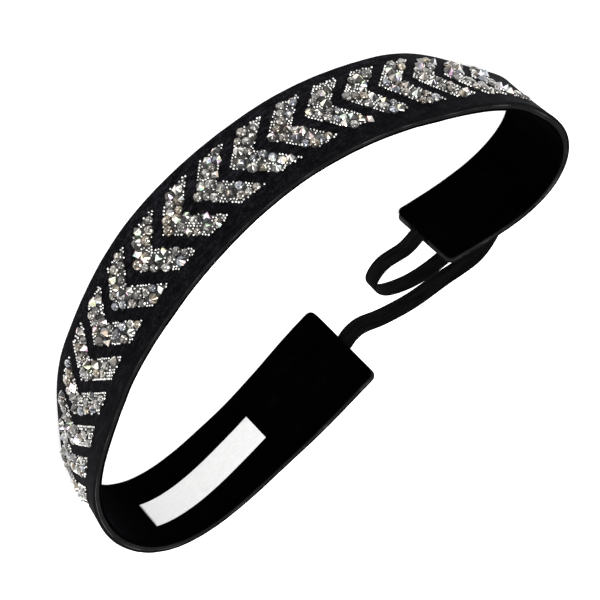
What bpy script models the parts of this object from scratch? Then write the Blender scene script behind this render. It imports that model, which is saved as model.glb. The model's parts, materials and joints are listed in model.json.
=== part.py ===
"""Sports headband: a layered fabric band with raised crystal chevrons, closed at the back by a narrow folded elastic.

The band stands on its lower edge, its front towards -Y. Along the band, s is the distance from the middle of the
front, positive towards +X; across it, w is the distance up from the lower edge; depth is the distance out from the
middle of the thickness. Lengths are in metres and angles in degrees.
"""

import math

import bmesh
import bpy
import numpy as np
from mathutils import Vector

MM = 0.001

BAND_WIDTH = 25.4 * MM
LAYER_THICKNESS = 0.8 * MM
LAYER_GAP = 0.3 * MM
PIECE_GAP = 0.3 * MM
CORNER_RADIUS = 2.0 * MM

# The band's plan: how far each of its even arcs turns, from its end at -X round the front to its end at +X.
BAND_LENGTH = 413 * MM
BAND_TURNS = (13, 114, 9, 20, 16, 26, 22, 20, 21, 14, 34, 72, 7, 1)
ARC_BLEND = 28 * MM
# How far the band leans outward at eleven even stations, in the same order.
BAND_LEANS = (-7, -2, 12, -4, -7, -14, -1, 14, 3, 7, 26)

# The band flexes about an upright line at each side of the front.
FLEX_AT = 56 * MM
FLEX_CLEARANCE = 0.1 * MM

CHEVRON_COUNT = 18
CHEVRON_PITCH = 12.5 * MM
CHEVRON_CENTRE = -8.1 * MM
CHEVRON_STRIPE = 7.4 * MM
CHEVRON_VERTEX_W = 10.6 * MM
CHEVRON_LOW_W = 3.4 * MM
CHEVRON_HIGH_W = 20.4 * MM
# How far the two arms fall back from the vertex for each unit of width.
CHEVRON_LOW_SLOPE = 1.1
CHEVRON_HIGH_SLOPE = 0.9
CHEVRON_HEIGHT = 1.1 * MM
STONE_RISE = 0.5 * MM

ELASTIC_WIDTH = 5.0 * MM
ELASTIC_THICKNESS = 0.8 * MM
TAB_LENGTH = 12 * MM
TAB_CLEARANCE = 0.3 * MM
# The free elastic starts this far outside the band's ends, where it may turn without touching its sewn ends.
EXIT_GAP = 0.5 * MM
# The folded elastic's path in plan, from the +X end of the band to the -X end, measured from the middle of the front.
ELASTIC_PATH = (
    (5.6 * MM, 107 * MM),
    (2 * MM, 108.6 * MM),
    (-2.9 * MM, 114.9 * MM),
    (-10.3 * MM, 121.7 * MM),
    (-19.4 * MM, 127.1 * MM),
    (-30.5 * MM, 133.5 * MM),
    (-40.5 * MM, 131.8 * MM),
    (-44.5 * MM, 127.5 * MM),
    (-39 * MM, 123 * MM),
    (-26.5 * MM, 120.8 * MM),
    (-16.4 * MM, 115.3 * MM),
    (-10.1 * MM, 106.3 * MM),
    (-10.8 * MM, 98.8 * MM),
    (-17.2 * MM, 97 * MM),
    (-24.2 * MM, 101.4 * MM),
)
# The shares of that path at which its three pieces part, and over which it untwists from each end's lean.
RUN_SHARE = 0.2
BACK_SHARE = 0.55
RIGHT_UNTWIST_SHARE = 0.45
LEFT_UNTWIST_SHARE = 0.12
# How far up the band the elastic is sewn in at each end.
TAB_W = {"right": 12.7 * MM, "left": 10.7 * MM}

LABEL_FROM = 129 * MM
LABEL_TO = 172 * MM
LABEL_WIDTH = 8.6 * MM
# The label is sewn on a little askew: the middle of its width at each end.
LABEL_MIDDLE_W = (14.1 * MM, 11.9 * MM)
LABEL_THICKNESS = 0.3 * MM

STITCH_INSET = 4.5 * MM
STITCH_WIDTH = 0.9 * MM
STITCH_THICKNESS = 0.4 * MM

STATION_STEP = 4 * MM
ELASTIC_STEP = 2 * MM
WIDTH_ROWS = 3
TABLE_STEP = 0.5 * MM
OVERRUN = 10 * MM
BLEND_SAMPLES = 21

END = BAND_LENGTH / 2
HALF_THICKNESS = 1.5 * LAYER_THICKNESS + LAYER_GAP


# ---------------------------------------------------------------- the band's shape

def raw_heading(s):
    """Heading in radians of the chain of arcs, before its joints are softened."""
    ends = np.linspace(-END, END, len(BAND_TURNS) + 1)
    turned = np.radians(np.cumsum([0, *BAND_TURNS]))
    heading = np.interp(s, ends, turned)
    first_rate = (turned[1] - turned[0]) / (ends[1] - ends[0])
    last_rate = (turned[-1] - turned[-2]) / (ends[1] - ends[0])
    heading = np.where(s < -END, (s + END) * first_rate, heading)
    return np.where(s > END, turned[-1] + (s - END) * last_rate, heading)


def make_plan():
    """Table of s, heading and place along the band's middle line, with the middle of the front at the origin."""
    s = np.arange(-END - OVERRUN, END + OVERRUN + TABLE_STEP / 2, TABLE_STEP)
    window = (np.arange(BLEND_SAMPLES) / (BLEND_SAMPLES - 1) - 0.5) * ARC_BLEND
    heading = np.mean([raw_heading(s + shift) for shift in window], axis=0)
    heading -= np.interp(0, s, heading)
    mid_heading = (heading[1:] + heading[:-1]) / 2
    x = np.concatenate([[0], np.cumsum(np.cos(mid_heading) * TABLE_STEP)])
    y = np.concatenate([[0], np.cumsum(np.sin(mid_heading) * TABLE_STEP)])
    return s, heading, x - np.interp(0, s, x), y - np.interp(0, s, y)


PLAN_S, PLAN_HEADING, PLAN_X, PLAN_Y = make_plan()


def heading_at(s):
    return float(np.interp(s, PLAN_S, PLAN_HEADING))


def plan_at(s):
    return Vector((float(np.interp(s, PLAN_S, PLAN_X)), float(np.interp(s, PLAN_S, PLAN_Y)), 0))


def outward_at(s):
    heading = heading_at(s)
    return Vector((math.sin(heading), -math.cos(heading), 0))


def smooth(t):
    return t * t * (3 - 2 * t)


def lean_at(s):
    """Outward lean in radians."""
    place = min(max((s + END) / BAND_LENGTH, 0), 1) * (len(BAND_LEANS) - 1)
    index = min(int(place), len(BAND_LEANS) - 2)
    share = smooth(place - index)
    return math.radians(BAND_LEANS[index] * (1 - share) + BAND_LEANS[index + 1] * share)


def band_point(s, w, depth):
    """A point of the band; the section is sheared, so that its lower and upper edges stay level."""
    lean = lean_at(s)
    height = w * math.cos(lean)
    shift = (w - BAND_WIDTH / 2) * math.sin(lean) + depth / math.cos(lean)
    return plan_at(s) + outward_at(s) * shift + Vector((0, 0, height))


# ---------------------------------------------------------------- building helpers

def clear_scene():
    for obj in list(bpy.data.objects):
        bpy.data.objects.remove(obj)


def make_collection(name):
    collection = bpy.data.collections.new(name)
    bpy.context.scene.collection.children.link(collection)
    return collection


def make_material(name, colour, roughness, metallic=0.0):
    material = bpy.data.materials.new(name)
    material.use_nodes = True
    shader = material.node_tree.nodes["Principled BSDF"]
    shader.inputs["Base Color"].default_value = (*colour, 1)
    shader.inputs["Roughness"].default_value = roughness
    shader.inputs["Metallic"].default_value = metallic
    return material


def make_pivot(name, location, parent, collection):
    pivot = bpy.data.objects.new(name, None)
    pivot.empty_display_size = BAND_WIDTH
    pivot.location = location
    pivot.parent = parent
    collection.objects.link(pivot)
    return pivot


def place_of(pivot):
    """Where an empty stands in the band's own frame: the sum of the locations above it, the root's left out."""
    place = Vector((0, 0, 0))
    while pivot.parent is not None:
        place += pivot.location
        pivot = pivot.parent
    return place


def loft(name, sections, pivot, material, collection):
    """A closed solid through a row of closed sections that have the same number of points."""
    shape = bmesh.new()
    origin = place_of(pivot)
    rings = [[shape.verts.new(point - origin) for point in section] for section in sections]
    count = len(rings[0])
    for ring, following in zip(rings, rings[1:]):
        for i in range(count):
            j = (i + 1) % count
            shape.faces.new((ring[i], ring[j], following[j], following[i]))
    shape.faces.new(rings[0])
    shape.faces.new(reversed(rings[-1]))
    bmesh.ops.recalc_face_normals(shape, faces=shape.faces)
    mesh = bpy.data.meshes.new(name)
    shape.to_mesh(mesh)
    shape.free()
    mesh.materials.append(material)
    obj = bpy.data.objects.new(name, mesh)
    obj.parent = pivot
    collection.objects.link(obj)
    return obj


def stations(start, stop, rounded_start=False, rounded_stop=False):
    """Distances along the band, closer together where an end has rounded corners."""
    count = max(2, round((stop - start) / STATION_STEP) + 1)
    places = list(np.linspace(start, stop, count))
    corner = [CORNER_RADIUS * share for share in (0.08, 0.3, 0.6, 1.0)]
    if rounded_start:
        places = [start] + [start + d for d in corner] + [p for p in places if p > start + 1.3 * CORNER_RADIUS]
    if rounded_stop:
        places = [p for p in places if p < stop - 1.3 * CORNER_RADIUS] + [stop - d for d in reversed(corner)] + [stop]
    return places


def corner_inset(distance_from_end):
    """How much a rounded corner takes off the band's edge, at a distance from the end."""
    if distance_from_end >= CORNER_RADIUS:
        return 0.0
    return CORNER_RADIUS - math.sqrt(CORNER_RADIUS**2 - (CORNER_RADIUS - distance_from_end) ** 2)


def band_strip(name, places, low, high, inner, outer, pivot, material, collection, rounded=False):
    """A strip that follows the band between two widths and two depths."""
    sections = []
    for s in places:
        inset = corner_inset(END - abs(s)) if rounded else 0.0
        widths = np.linspace(low + inset, high - inset, WIDTH_ROWS + 1)
        section = [band_point(s, w, outer) for w in widths]
        section += [band_point(s, w, inner) for w in reversed(widths)]
        sections.append(section)
    return loft(name, sections, pivot, material, collection)


# ---------------------------------------------------------------- layers of the band

def make_layer(layer, middle_depth, pivots, material, collection):
    """One fabric layer in three lengths: left side, front and right side."""
    half = LAYER_THICKNESS / 2
    cut = PIECE_GAP / 2
    spans = {
        "left": stations(-END, -FLEX_AT - cut, rounded_start=True),
        "front": stations(-FLEX_AT + cut, FLEX_AT - cut),
        "right": stations(FLEX_AT + cut, END, rounded_stop=True),
    }
    pieces = {}
    for side, places in spans.items():
        name = layer + "_" + side
        depths = (middle_depth - half, middle_depth + half)
        pieces[side] = band_strip(name, places, 0, BAND_WIDTH, *depths, pivots[side], material, collection, True)
    return pieces


def cut_tab_pocket(core, side, pivot, material, cutters):
    """Cut the slot in the end of the core where the elastic's tab lies."""
    sign = 1 if side == "right" else -1
    depth_in = TAB_LENGTH + TAB_CLEARANCE
    ends = sorted((sign * (END - depth_in), sign * (END + OVERRUN / 4)))
    half_slot = ELASTIC_WIDTH / 2 + TAB_CLEARANCE
    middle = TAB_W[side]
    widths = (middle - half_slot, middle + half_slot)
    cutter = band_strip("pocket_cutter_" + side, stations(*ends), *widths, -LAYER_THICKNESS, LAYER_THICKNESS,
                        pivot, material, cutters)
    cutter.hide_render = True
    cutter.display_type = "WIRE"
    pocket = core.modifiers.new("tab_pocket", "BOOLEAN")
    pocket.operation = "DIFFERENCE"
    pocket.object = cutter


def make_label(pivot, material, collection):
    """The label on the lining."""
    outer = -HALF_THICKNESS - PIECE_GAP
    sections = []
    for s in stations(LABEL_FROM, LABEL_TO):
        middle = float(np.interp(s, (LABEL_FROM, LABEL_TO), LABEL_MIDDLE_W))
        widths = np.linspace(middle - LABEL_WIDTH / 2, middle + LABEL_WIDTH / 2, WIDTH_ROWS + 1)
        section = [band_point(s, w, outer) for w in widths]
        section += [band_point(s, w, outer - LABEL_THICKNESS) for w in reversed(widths)]
        sections.append(section)
    loft("care_label", sections, pivot, material, collection)


def make_end_stitch(side, pivot, material, collection):
    """The row of thread that closes the layers over the elastic's tab, on the outer face."""
    sign = 1 if side == "right" else -1
    middle = sign * (END - STITCH_INSET)
    places = (middle - STITCH_WIDTH / 2, middle + STITCH_WIDTH / 2)
    inner = HALF_THICKNESS + PIECE_GAP
    band_strip("end_stitch_" + side, places, CORNER_RADIUS, BAND_WIDTH - CORNER_RADIUS, inner,
               inner + STITCH_THICKNESS, pivot, material, collection)


# ---------------------------------------------------------------- crystal chevrons

def chevron_lead(vertex_s, w):
    """The chevron's front edge at one width; it falls back from the vertex both ways."""
    slope = CHEVRON_LOW_SLOPE if w < CHEVRON_VERTEX_W else CHEVRON_HIGH_SLOPE
    return vertex_s - slope * abs(w - CHEVRON_VERTEX_W)


def chevron_section(vertex_s, w, row):
    """The chevron's section at one width: a stripe behind its front edge, with a stepped top."""
    lead = chevron_lead(vertex_s, w)
    steps = (0, 1 / 3, 2 / 3, 1)
    base = HALF_THICKNESS + PIECE_GAP
    lower = [band_point(lead - CHEVRON_STRIPE * step, w, base) for step in steps]
    upper = []
    for column, step in enumerate(reversed(steps)):
        rise = STONE_RISE * ((row + column) % 2)
        upper.append(band_point(lead - CHEVRON_STRIPE * step, w, base + CHEVRON_HEIGHT + rise))
    return lower + upper


def make_chevron(number, vertex_s, pivot, material, collection):
    below = np.linspace(CHEVRON_LOW_W, CHEVRON_VERTEX_W, 5)
    above = np.linspace(CHEVRON_VERTEX_W, CHEVRON_HIGH_W, 7)[1:]
    widths = list(below) + list(above)
    sections = [chevron_section(vertex_s, w, row) for row, w in enumerate(widths)]
    loft("chevron_{:02d}".format(number), sections, pivot, material, collection)


def make_chevrons(pivots, material, collection):
    """Number 1 is at the +X end of the row; those that lie past a flex line belong to that side."""
    first = CHEVRON_CENTRE + CHEVRON_PITCH * (CHEVRON_COUNT - 1) / 2
    reach = CHEVRON_STRIPE + CHEVRON_HIGH_SLOPE * (CHEVRON_HIGH_W - CHEVRON_VERTEX_W)
    for index in range(CHEVRON_COUNT):
        vertex_s = first - CHEVRON_PITCH * index
        side = "front"
        if vertex_s - reach > FLEX_AT:
            side = "right"
        if vertex_s < -FLEX_AT:
            side = "left"
        make_chevron(index + 1, vertex_s, pivots[side], material, collection)


# ---------------------------------------------------------------- elastic

def spline(points, samples_each=12):
    """A smooth line through the points, after Catmull and Rom."""
    padded = [points[0] * 2 - points[1]] + points + [points[-1] * 2 - points[-2]]
    line = []
    for i in range(1, len(padded) - 2):
        before, start, stop, after = padded[i - 1 : i + 3]
        for k in range(samples_each):
            t = k / samples_each
            line.append(
                start
                + (stop - before) * (t / 2)
                + (before * 2 - start * 5 + stop * 4 - after) * (t * t / 2)
                + (start * 3 - before - stop * 3 + after) * (t**3 / 2)
            )
    return line + [points[-1]]


def elastic_line():
    """The elastic's middle line in plan, from end to end of the band, with the distance run at each point."""
    right_end, left_end = plan_at(END), plan_at(-END)
    points = [right_end] + [Vector((x, y, 0)) for x, y in ELASTIC_PATH] + [left_end]
    line = spline(points)
    run = np.cumsum([0] + [(b - a).length for a, b in zip(line, line[1:])])
    return line, run


def elastic_section(line, run, distance):
    """Section of the free elastic; it leaves each end at the band's lean and stands upright between."""
    def place(d):
        return Vector([float(np.interp(d, run, [p[axis] for p in line])) for axis in range(3)])

    ahead = place(distance + ELASTIC_STEP / 2) - place(distance - ELASTIC_STEP / 2)
    side = Vector((ahead.y, -ahead.x, 0)).normalized()
    share = distance / run[-1]
    leans = (lean_at(END), -lean_at(-END))
    leaving = smooth(max(0, 1 - share / RIGHT_UNTWIST_SHARE))
    arriving = smooth(max(0, 1 - (1 - share) / LEFT_UNTWIST_SHARE))
    lean = leans[0] * leaving + leans[1] * arriving
    heights = (TAB_W["right"] * math.cos(leans[0]), TAB_W["left"] * math.cos(leans[1]))
    middle = place(distance) + Vector((0, 0, heights[0] * (1 - share) + heights[1] * share))
    across = (side * math.sin(lean) + Vector((0, 0, math.cos(lean)))) * (ELASTIC_WIDTH / 2)
    through = (side * math.cos(lean) - Vector((0, 0, math.sin(lean)))) * (ELASTIC_THICKNESS / 2)
    return [middle + through - across, middle + through + across,
            middle - through + across, middle - through - across]


def make_elastic(pivots, material, collection):
    """The free elastic in three lengths, each with a gap to the next."""
    line, run = elastic_line()
    cuts = [EXIT_GAP, RUN_SHARE * run[-1], BACK_SHARE * run[-1], run[-1] - EXIT_GAP]
    names = ("elastic_run", "elastic_back_loop", "elastic_front_loop")
    for name, start, stop in zip(names, cuts, cuts[1:]):
        count = round((stop - start) / ELASTIC_STEP) + 1
        distances = np.linspace(start + PIECE_GAP / 2, stop - PIECE_GAP / 2, count)
        sections = [elastic_section(line, run, float(d)) for d in distances]
        pivot = pivots["turn"] if name == "elastic_run" else pivots["stretch"]
        loft(name, sections, pivot, material, collection)


def make_tab(side, pivot, material, collection):
    """The end of the elastic that is sewn in between the face and the lining."""
    sign = 1 if side == "right" else -1
    places = stations(*sorted((sign * (END - TAB_LENGTH), sign * END)))
    middle, half = TAB_W[side], ELASTIC_WIDTH / 2
    depth = ELASTIC_THICKNESS / 2
    band_strip("elastic_tab_" + side, places, middle - half, middle + half, -depth, depth,
               pivot, material, collection)


# ---------------------------------------------------------------- assembly

def flex_place(s):
    """The upright line that touches the band's outer side at s, so that opening the band never pinches it."""
    lean = lean_at(s)
    bulge = BAND_WIDTH / 2 * abs(math.sin(lean)) + HALF_THICKNESS / math.cos(lean)
    return plan_at(s) + outward_at(s) * (bulge + FLEX_CLEARANCE)


def centre_on_origin(root, collection):
    """Move the whole object so that the middle of its box, seen from above, is at the origin."""
    bpy.context.view_layer.update()
    corners = [obj.matrix_world @ Vector(corner) for obj in collection.objects if obj.type == "MESH"
               for corner in obj.bound_box]
    for axis in (0, 1):
        values = [corner[axis] for corner in corners]
        root.location[axis] = -(min(values) + max(values)) / 2
    bpy.context.view_layer.update()


def main():
    clear_scene()
    headband = make_collection("sports_headband")
    cutters = make_collection("cutters")

    suede = make_material("suede_face", (0.012, 0.011, 0.011), 0.85)
    interlining = make_material("interlining", (0.06, 0.055, 0.05), 0.9)
    velvet = make_material("velvet_lining", (0.004, 0.004, 0.005), 0.95)
    elastic = make_material("ribbed_elastic", (0.015, 0.015, 0.016), 0.7)
    satin = make_material("label_satin", (0.86, 0.86, 0.85), 0.45)
    thread = make_material("black_thread", (0.01, 0.01, 0.01), 0.6)
    crystal = make_material("smoky_crystal", (0.55, 0.53, 0.5), 0.15, 0.6)

    root = make_pivot("headband_root", (0, 0, 0), None, headband)
    pivots = {"front": root}
    pivots["left"] = make_pivot("left_flex_line", flex_place(-FLEX_AT), root, headband)
    pivots["right"] = make_pivot("right_flex_line", flex_place(FLEX_AT), root, headband)
    exit_place = plan_at(END)
    pivots["turn"] = make_pivot("elastic_turn_line", exit_place - place_of(pivots["right"]), pivots["right"], headband)
    pivots["stretch"] = make_pivot("elastic_stretch_line", (0, 0, 0), pivots["turn"], headband)

    spacing = LAYER_THICKNESS + LAYER_GAP
    make_layer("face", spacing, pivots, suede, headband)
    cores = make_layer("core", 0, pivots, interlining, headband)
    make_layer("lining", -spacing, pivots, velvet, headband)
    for side in ("left", "right"):
        cut_tab_pocket(cores[side], side, pivots[side], interlining, cutters)
        make_tab(side, pivots[side], elastic, headband)
        make_end_stitch(side, pivots[side], thread, headband)
    make_label(pivots["right"], satin, headband)
    make_elastic(pivots, elastic, headband)
    make_chevrons(pivots, crystal, headband)
    centre_on_origin(root, headband)


main()
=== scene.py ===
import json
import math
import random

import bmesh
import bpy
import numpy as np
from mathutils import Matrix, Vector, noise


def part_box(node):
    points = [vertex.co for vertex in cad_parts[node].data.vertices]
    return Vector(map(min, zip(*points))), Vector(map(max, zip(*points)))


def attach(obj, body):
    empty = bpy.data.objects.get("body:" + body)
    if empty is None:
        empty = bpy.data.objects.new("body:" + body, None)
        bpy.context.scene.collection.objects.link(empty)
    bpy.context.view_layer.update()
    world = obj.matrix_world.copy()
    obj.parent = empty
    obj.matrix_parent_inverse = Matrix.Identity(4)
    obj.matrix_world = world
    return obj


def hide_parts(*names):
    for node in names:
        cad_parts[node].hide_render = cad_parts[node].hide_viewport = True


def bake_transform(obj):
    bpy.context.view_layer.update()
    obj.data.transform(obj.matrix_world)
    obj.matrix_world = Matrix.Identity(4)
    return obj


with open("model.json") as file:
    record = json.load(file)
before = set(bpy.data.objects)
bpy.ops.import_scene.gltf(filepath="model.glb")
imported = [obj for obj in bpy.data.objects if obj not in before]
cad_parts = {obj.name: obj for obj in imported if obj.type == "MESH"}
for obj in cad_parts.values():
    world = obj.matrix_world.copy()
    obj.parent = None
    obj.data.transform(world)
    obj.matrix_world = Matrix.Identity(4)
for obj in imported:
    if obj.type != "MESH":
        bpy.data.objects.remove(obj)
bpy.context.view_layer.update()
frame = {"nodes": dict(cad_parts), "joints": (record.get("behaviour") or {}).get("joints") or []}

# Sports headband. Along the band, s is the distance from the middle of the front, positive towards +X;
# across it, w is the distance up from the lower edge; depth is the distance out from the middle of the
# thickness. Metres and degrees.
MM = 0.001

BAND_WIDTH = 25.4 * MM
HALF_THICKNESS = 1.5 * MM
CORNER_RADIUS = 2.0 * MM

# The band's plan: how far each of its even arcs turns, from its end at -X round the front to its end at
# +X, as in the CAD source. Its outward lean is given at even places between its ends.
BAND_LENGTH = 413 * MM
BAND_TURNS = (13, 114, 9, 20, 16, 26, 22, 20, 21, 14, 34, 72, 7, 1)
ARC_BLEND = 28 * MM
BLEND_SAMPLES = 21
TABLE_STEP = 0.5 * MM
FRAME_STEP = 0.2 * MM
OVERRUN = 10 * MM
BAND_LEANS = (-7, -2, 12, -4, -7, -14, -1, 14, 3, 7, 26)
END = BAND_LENGTH / 2
MAP_SAMPLES = 833
MAP_TOLERANCE = 0.2 * MM

ELASTIC_WIDTH = 5.0 * MM
ELASTIC_THICKNESS = 0.8 * MM

# The free elastic's way from the +X end to the -X end: x and y in millimetres from the front's middle.
ELASTIC_PATH_MM = (
    (5.6, 107), (2, 108.6), (-2.9, 114.9), (-10.3, 121.7), (-19.4, 127.1),
    (-30.5, 133.5), (-40.5, 131.8), (-44.5, 127.5), (-39, 123), (-26.5, 120.8),
    (-16.4, 115.3), (-10.1, 106.3), (-10.8, 98.8), (-17.2, 97), (-24.2, 101.4),
)

# The elastic leaves each end of the band with that end's lean, and is upright after this share of its way.
RIGHT_UNTWIST_SHARE = 0.45
LEFT_UNTWIST_SHARE = 0.12
TAB_W = {"right": 12.7 * MM, "left": 10.7 * MM}
TAB_LENGTH = 12 * MM
POCKET_MARGIN = 0.3 * MM

CHEVRON_COUNT = 18
CHEVRON_PITCH = 12.5 * MM
CHEVRON_FIRST = 98.15 * MM
CHEVRON_STRIPE = 7.4 * MM
CHEVRON_VERTEX_W = 10.6 * MM
CHEVRON_LOW_W = 3.4 * MM
CHEVRON_HIGH_W = 20.4 * MM
CHEVRON_LOW_SLOPE = 1.1
CHEVRON_HIGH_SLOPE = 0.9

LABEL_FROM = 129 * MM
LABEL_TO = 172 * MM
LABEL_WIDTH = 8.6 * MM
LABEL_MIDDLE_W = (14.1 * MM, 11.9 * MM)
LABEL_THICKNESS = 0.3 * MM

STITCH_INSET = 4.5 * MM


# ---- the band's shape

def joint_place(name):
    """Where a joint of the frame is at rest."""
    joint = next(joint for joint in frame["joints"] if joint["name"] == name)
    return np.array(joint["pos_m"], float)


def raw_heading(s):
    """Heading in radians of the chain of arcs, before its joints are softened."""
    ends = np.linspace(-END, END, len(BAND_TURNS) + 1)
    turned = np.radians(np.cumsum([0, *BAND_TURNS]))
    heading = np.interp(s, ends, turned)
    first_rate = (turned[1] - turned[0]) / (ends[1] - ends[0])
    last_rate = (turned[-1] - turned[-2]) / (ends[1] - ends[0])
    heading = np.where(s < -END, (s + END) * first_rate, heading)
    return np.where(s > END, turned[-1] + (s - END) * last_rate, heading)


def make_plan():
    """Table of s, heading and place of the band's middle line; its +X end is where the elastic turns."""
    s = np.arange(-END - OVERRUN, END + OVERRUN + TABLE_STEP / 2, TABLE_STEP)
    window = (np.arange(BLEND_SAMPLES) / (BLEND_SAMPLES - 1) - 0.5) * ARC_BLEND
    heading = np.mean([raw_heading(s + shift) for shift in window], axis=0)
    heading -= np.interp(0, s, heading)
    middle = (heading[1:] + heading[:-1]) / 2
    x = np.concatenate([[0], np.cumsum(np.cos(middle) * TABLE_STEP)])
    y = np.concatenate([[0], np.cumsum(np.sin(middle) * TABLE_STEP)])
    exit_place = joint_place("elastic_turn")
    x += exit_place[0] - np.interp(END, s, x)
    y += exit_place[1] - np.interp(END, s, y)
    return s, heading, x, y


PLAN_S, PLAN_HEADING, PLAN_X, PLAN_Y = make_plan()


def smooth(t):
    return t * t * (3 - 2 * t)


def lean_at(s):
    """Outward lean in radians."""
    place = np.clip((np.asarray(s, float) + END) / (2 * END), 0, 1) * (len(BAND_LEANS) - 1)
    index = np.minimum(place.astype(int), len(BAND_LEANS) - 2)
    leans = np.radians(BAND_LEANS)
    share = smooth(place - index)
    return leans[index] * (1 - share) + leans[index + 1] * share


def band_points(s, w, depth):
    """Points of the band for arrays of s, w and depth."""
    s, w, depth = np.broadcast_arrays(np.asarray(s, float), w, depth)
    heading = np.interp(s, PLAN_S, PLAN_HEADING)
    lean = lean_at(s)
    shift = (w - BAND_WIDTH / 2) * np.sin(lean) + depth / np.cos(lean)
    x = np.interp(s, PLAN_S, PLAN_X) + np.sin(heading) * shift
    y = np.interp(s, PLAN_S, PLAN_Y) - np.cos(heading) * shift
    return np.stack([x, y, w * np.cos(lean)], axis=-1)


def surface_frame(s, w, depth):
    """A point of the band as an origin and three directions: along it, up it and out of it."""
    origin = band_points(s, w, depth)
    along = band_points(s + FRAME_STEP, w, depth) - band_points(s - FRAME_STEP, w, depth)
    up = band_points(s, w + FRAME_STEP, depth) - band_points(s, w - FRAME_STEP, depth)
    along /= np.linalg.norm(along)
    out = np.cross(along, up)
    out /= np.linalg.norm(out)
    return origin, np.array([along, np.cross(out, along), out])


def check_map():
    """Stops the script if the band's shape here isn't the frame's."""
    s = np.linspace(-END, END, MAP_SAMPLES)
    edges = [(w, depth) for w in (0, BAND_WIDTH) for depth in (-HALF_THICKNESS, HALF_THICKNESS)]
    corners = np.concatenate([band_points(s, w, depth) for w, depth in edges])
    names = [n for n in frame["nodes"] if n.startswith(("face_", "lining_"))]
    low = np.min([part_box(n)[0] for n in names], axis=0)
    high = np.max([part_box(n)[1] for n in names], axis=0)
    error = max(np.abs(corners.min(0) - low).max(), np.abs(corners.max(0) - high).max())
    if error > MAP_TOLERANCE:
        raise ValueError(f"the band's shape is {error / MM:.2f} mm off the frame")


check_map()


# ---- gathering meshes

STEP = 1.0 * MM
NEAR_END = (0, 0.04, 0.12, 0.25, 0.42, 0.62, 0.85, 1.1)
FRAY_SIZE = 3 * MM
EDGE_NOISE_ROW = 7.3
WAVE_SIZE = 9 * MM


class Parts:
    """A mesh being gathered, with each vertex's place on the strip and each face's tint."""

    def __init__(self):
        self.points = []
        self.strip = []
        self.faces = []
        self.slots = []
        self.tints = []

    def add(self, points, strip, faces, slot=0, tints=None):
        first = sum(len(block) for block in self.points)
        self.points.append(np.asarray(points, float).reshape(-1, 3))
        self.strip.append(np.asarray(strip, float).reshape(-1, 3))
        self.faces += [tuple(first + i for i in face) for face in faces]
        self.slots += [slot] * len(faces)
        self.tints += tints or [(1, 1, 1)] * len(faces)

    def build(self, name, materials, sharp, smooth_slots=None):
        mesh = bpy.data.meshes.new(name)
        mesh.from_pydata(np.concatenate(self.points).tolist(), [], self.faces)
        shape = bmesh.new()
        shape.from_mesh(mesh)
        bmesh.ops.recalc_face_normals(shape, faces=shape.faces)
        shape.to_mesh(mesh)
        shape.free()
        for material in materials:
            mesh.materials.append(material)
        mesh.polygons.foreach_set("material_index", self.slots)
        rounded = [smooth_slots is None or slot in smooth_slots for slot in self.slots]
        mesh.polygons.foreach_set("use_smooth", rounded)
        mesh.set_sharp_from_angle(angle=math.radians(sharp))
        strip = mesh.attributes.new("strip", "FLOAT_VECTOR", "POINT")
        strip.data.foreach_set("vector", np.concatenate(self.strip).astype(np.float32).ravel())
        tint = mesh.attributes.new("tint", "FLOAT_COLOR", "FACE")
        colours = np.ones((len(self.faces), 4), np.float32)
        colours[:, :3] = self.tints
        tint.data.foreach_set("color", colours.ravel())
        mesh.update()
        obj = bpy.data.objects.new(name, mesh)
        bpy.context.scene.collection.objects.link(obj)
        return obj


def ring_faces(stations, around):
    """Quads round a tube of closed rings, with a face at each end."""
    faces = []
    for i in range(stations - 1):
        for j in range(around):
            k = (j + 1) % around
            low, high = i * around, (i + 1) * around
            faces.append((low + j, low + k, high + k, high + j))
    faces.append(tuple(range(around)))
    faces.append(tuple(reversed(range((stations - 1) * around, stations * around))))
    return faces


def rounded_section(low, high, inner, outer, radius, rows, steps=3):
    """A strip's closed section as arrays of w and depth, its corners rounded."""
    turn = np.radians(np.linspace(0, 90, steps + 1))
    corners = ((high - radius, outer - radius, 0), (low + radius, outer - radius, 90),
               (low + radius, inner + radius, 180), (high - radius, inner + radius, 270))
    w, depth = [], []
    for index, (middle_w, middle_depth, start) in enumerate(corners):
        angle = turn + math.radians(start)
        w += list(middle_w + radius * np.cos(angle))
        depth += list(middle_depth + radius * np.sin(angle))
        following = corners[(index + 1) % 4]
        if index in (0, 2):
            between = np.linspace(0, 1, rows + 1)[1:-1]
            w += list(middle_w + (following[0] - middle_w) * between)
            depth += [depth[-1]] * len(between)
    return np.array(w), np.array(depth)


def corner_inset(s):
    """How much the band's rounded corners take off its edges."""
    distance = np.clip(END - np.abs(s), 0, CORNER_RADIUS)
    return CORNER_RADIUS - np.sqrt(CORNER_RADIUS**2 - (CORNER_RADIUS - distance) ** 2)


def half_places(side, start=0.0, stop=END):
    """Distances along one half of the band, closer together at its rounded end."""
    places = np.linspace(start, stop, max(2, round((stop - start) / STEP) + 1))
    if stop > END - STEP / 2:
        near = [END - CORNER_RADIUS * share for share in reversed(NEAR_END)]
        places = np.array([*places[places < END - 1.2 * CORNER_RADIUS], *near])
    return places if side == "right" else -places[::-1]


def ripple(s, w, seed, size):
    """Smooth noise from -1 to 1 over the band, for arrays of the same shape."""
    places = zip(np.ravel(s), np.ravel(w))
    return np.reshape([noise.noise(Vector((a / size, b / size, seed))) for a, b in places], np.shape(s))


def edge_wander(places, seed, fray):
    """How far in the cut edges wander at each place: a column for the lower edge and one for the upper."""
    wander = []
    for place in places:
        edges = [Vector((place / FRAY_SIZE, side * EDGE_NOISE_ROW, seed)) for side in (-1, 1)]
        wander.append([fray * (0.5 + 0.5 * noise.noise(edge)) for edge in edges])
    return np.array(wander)


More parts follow.
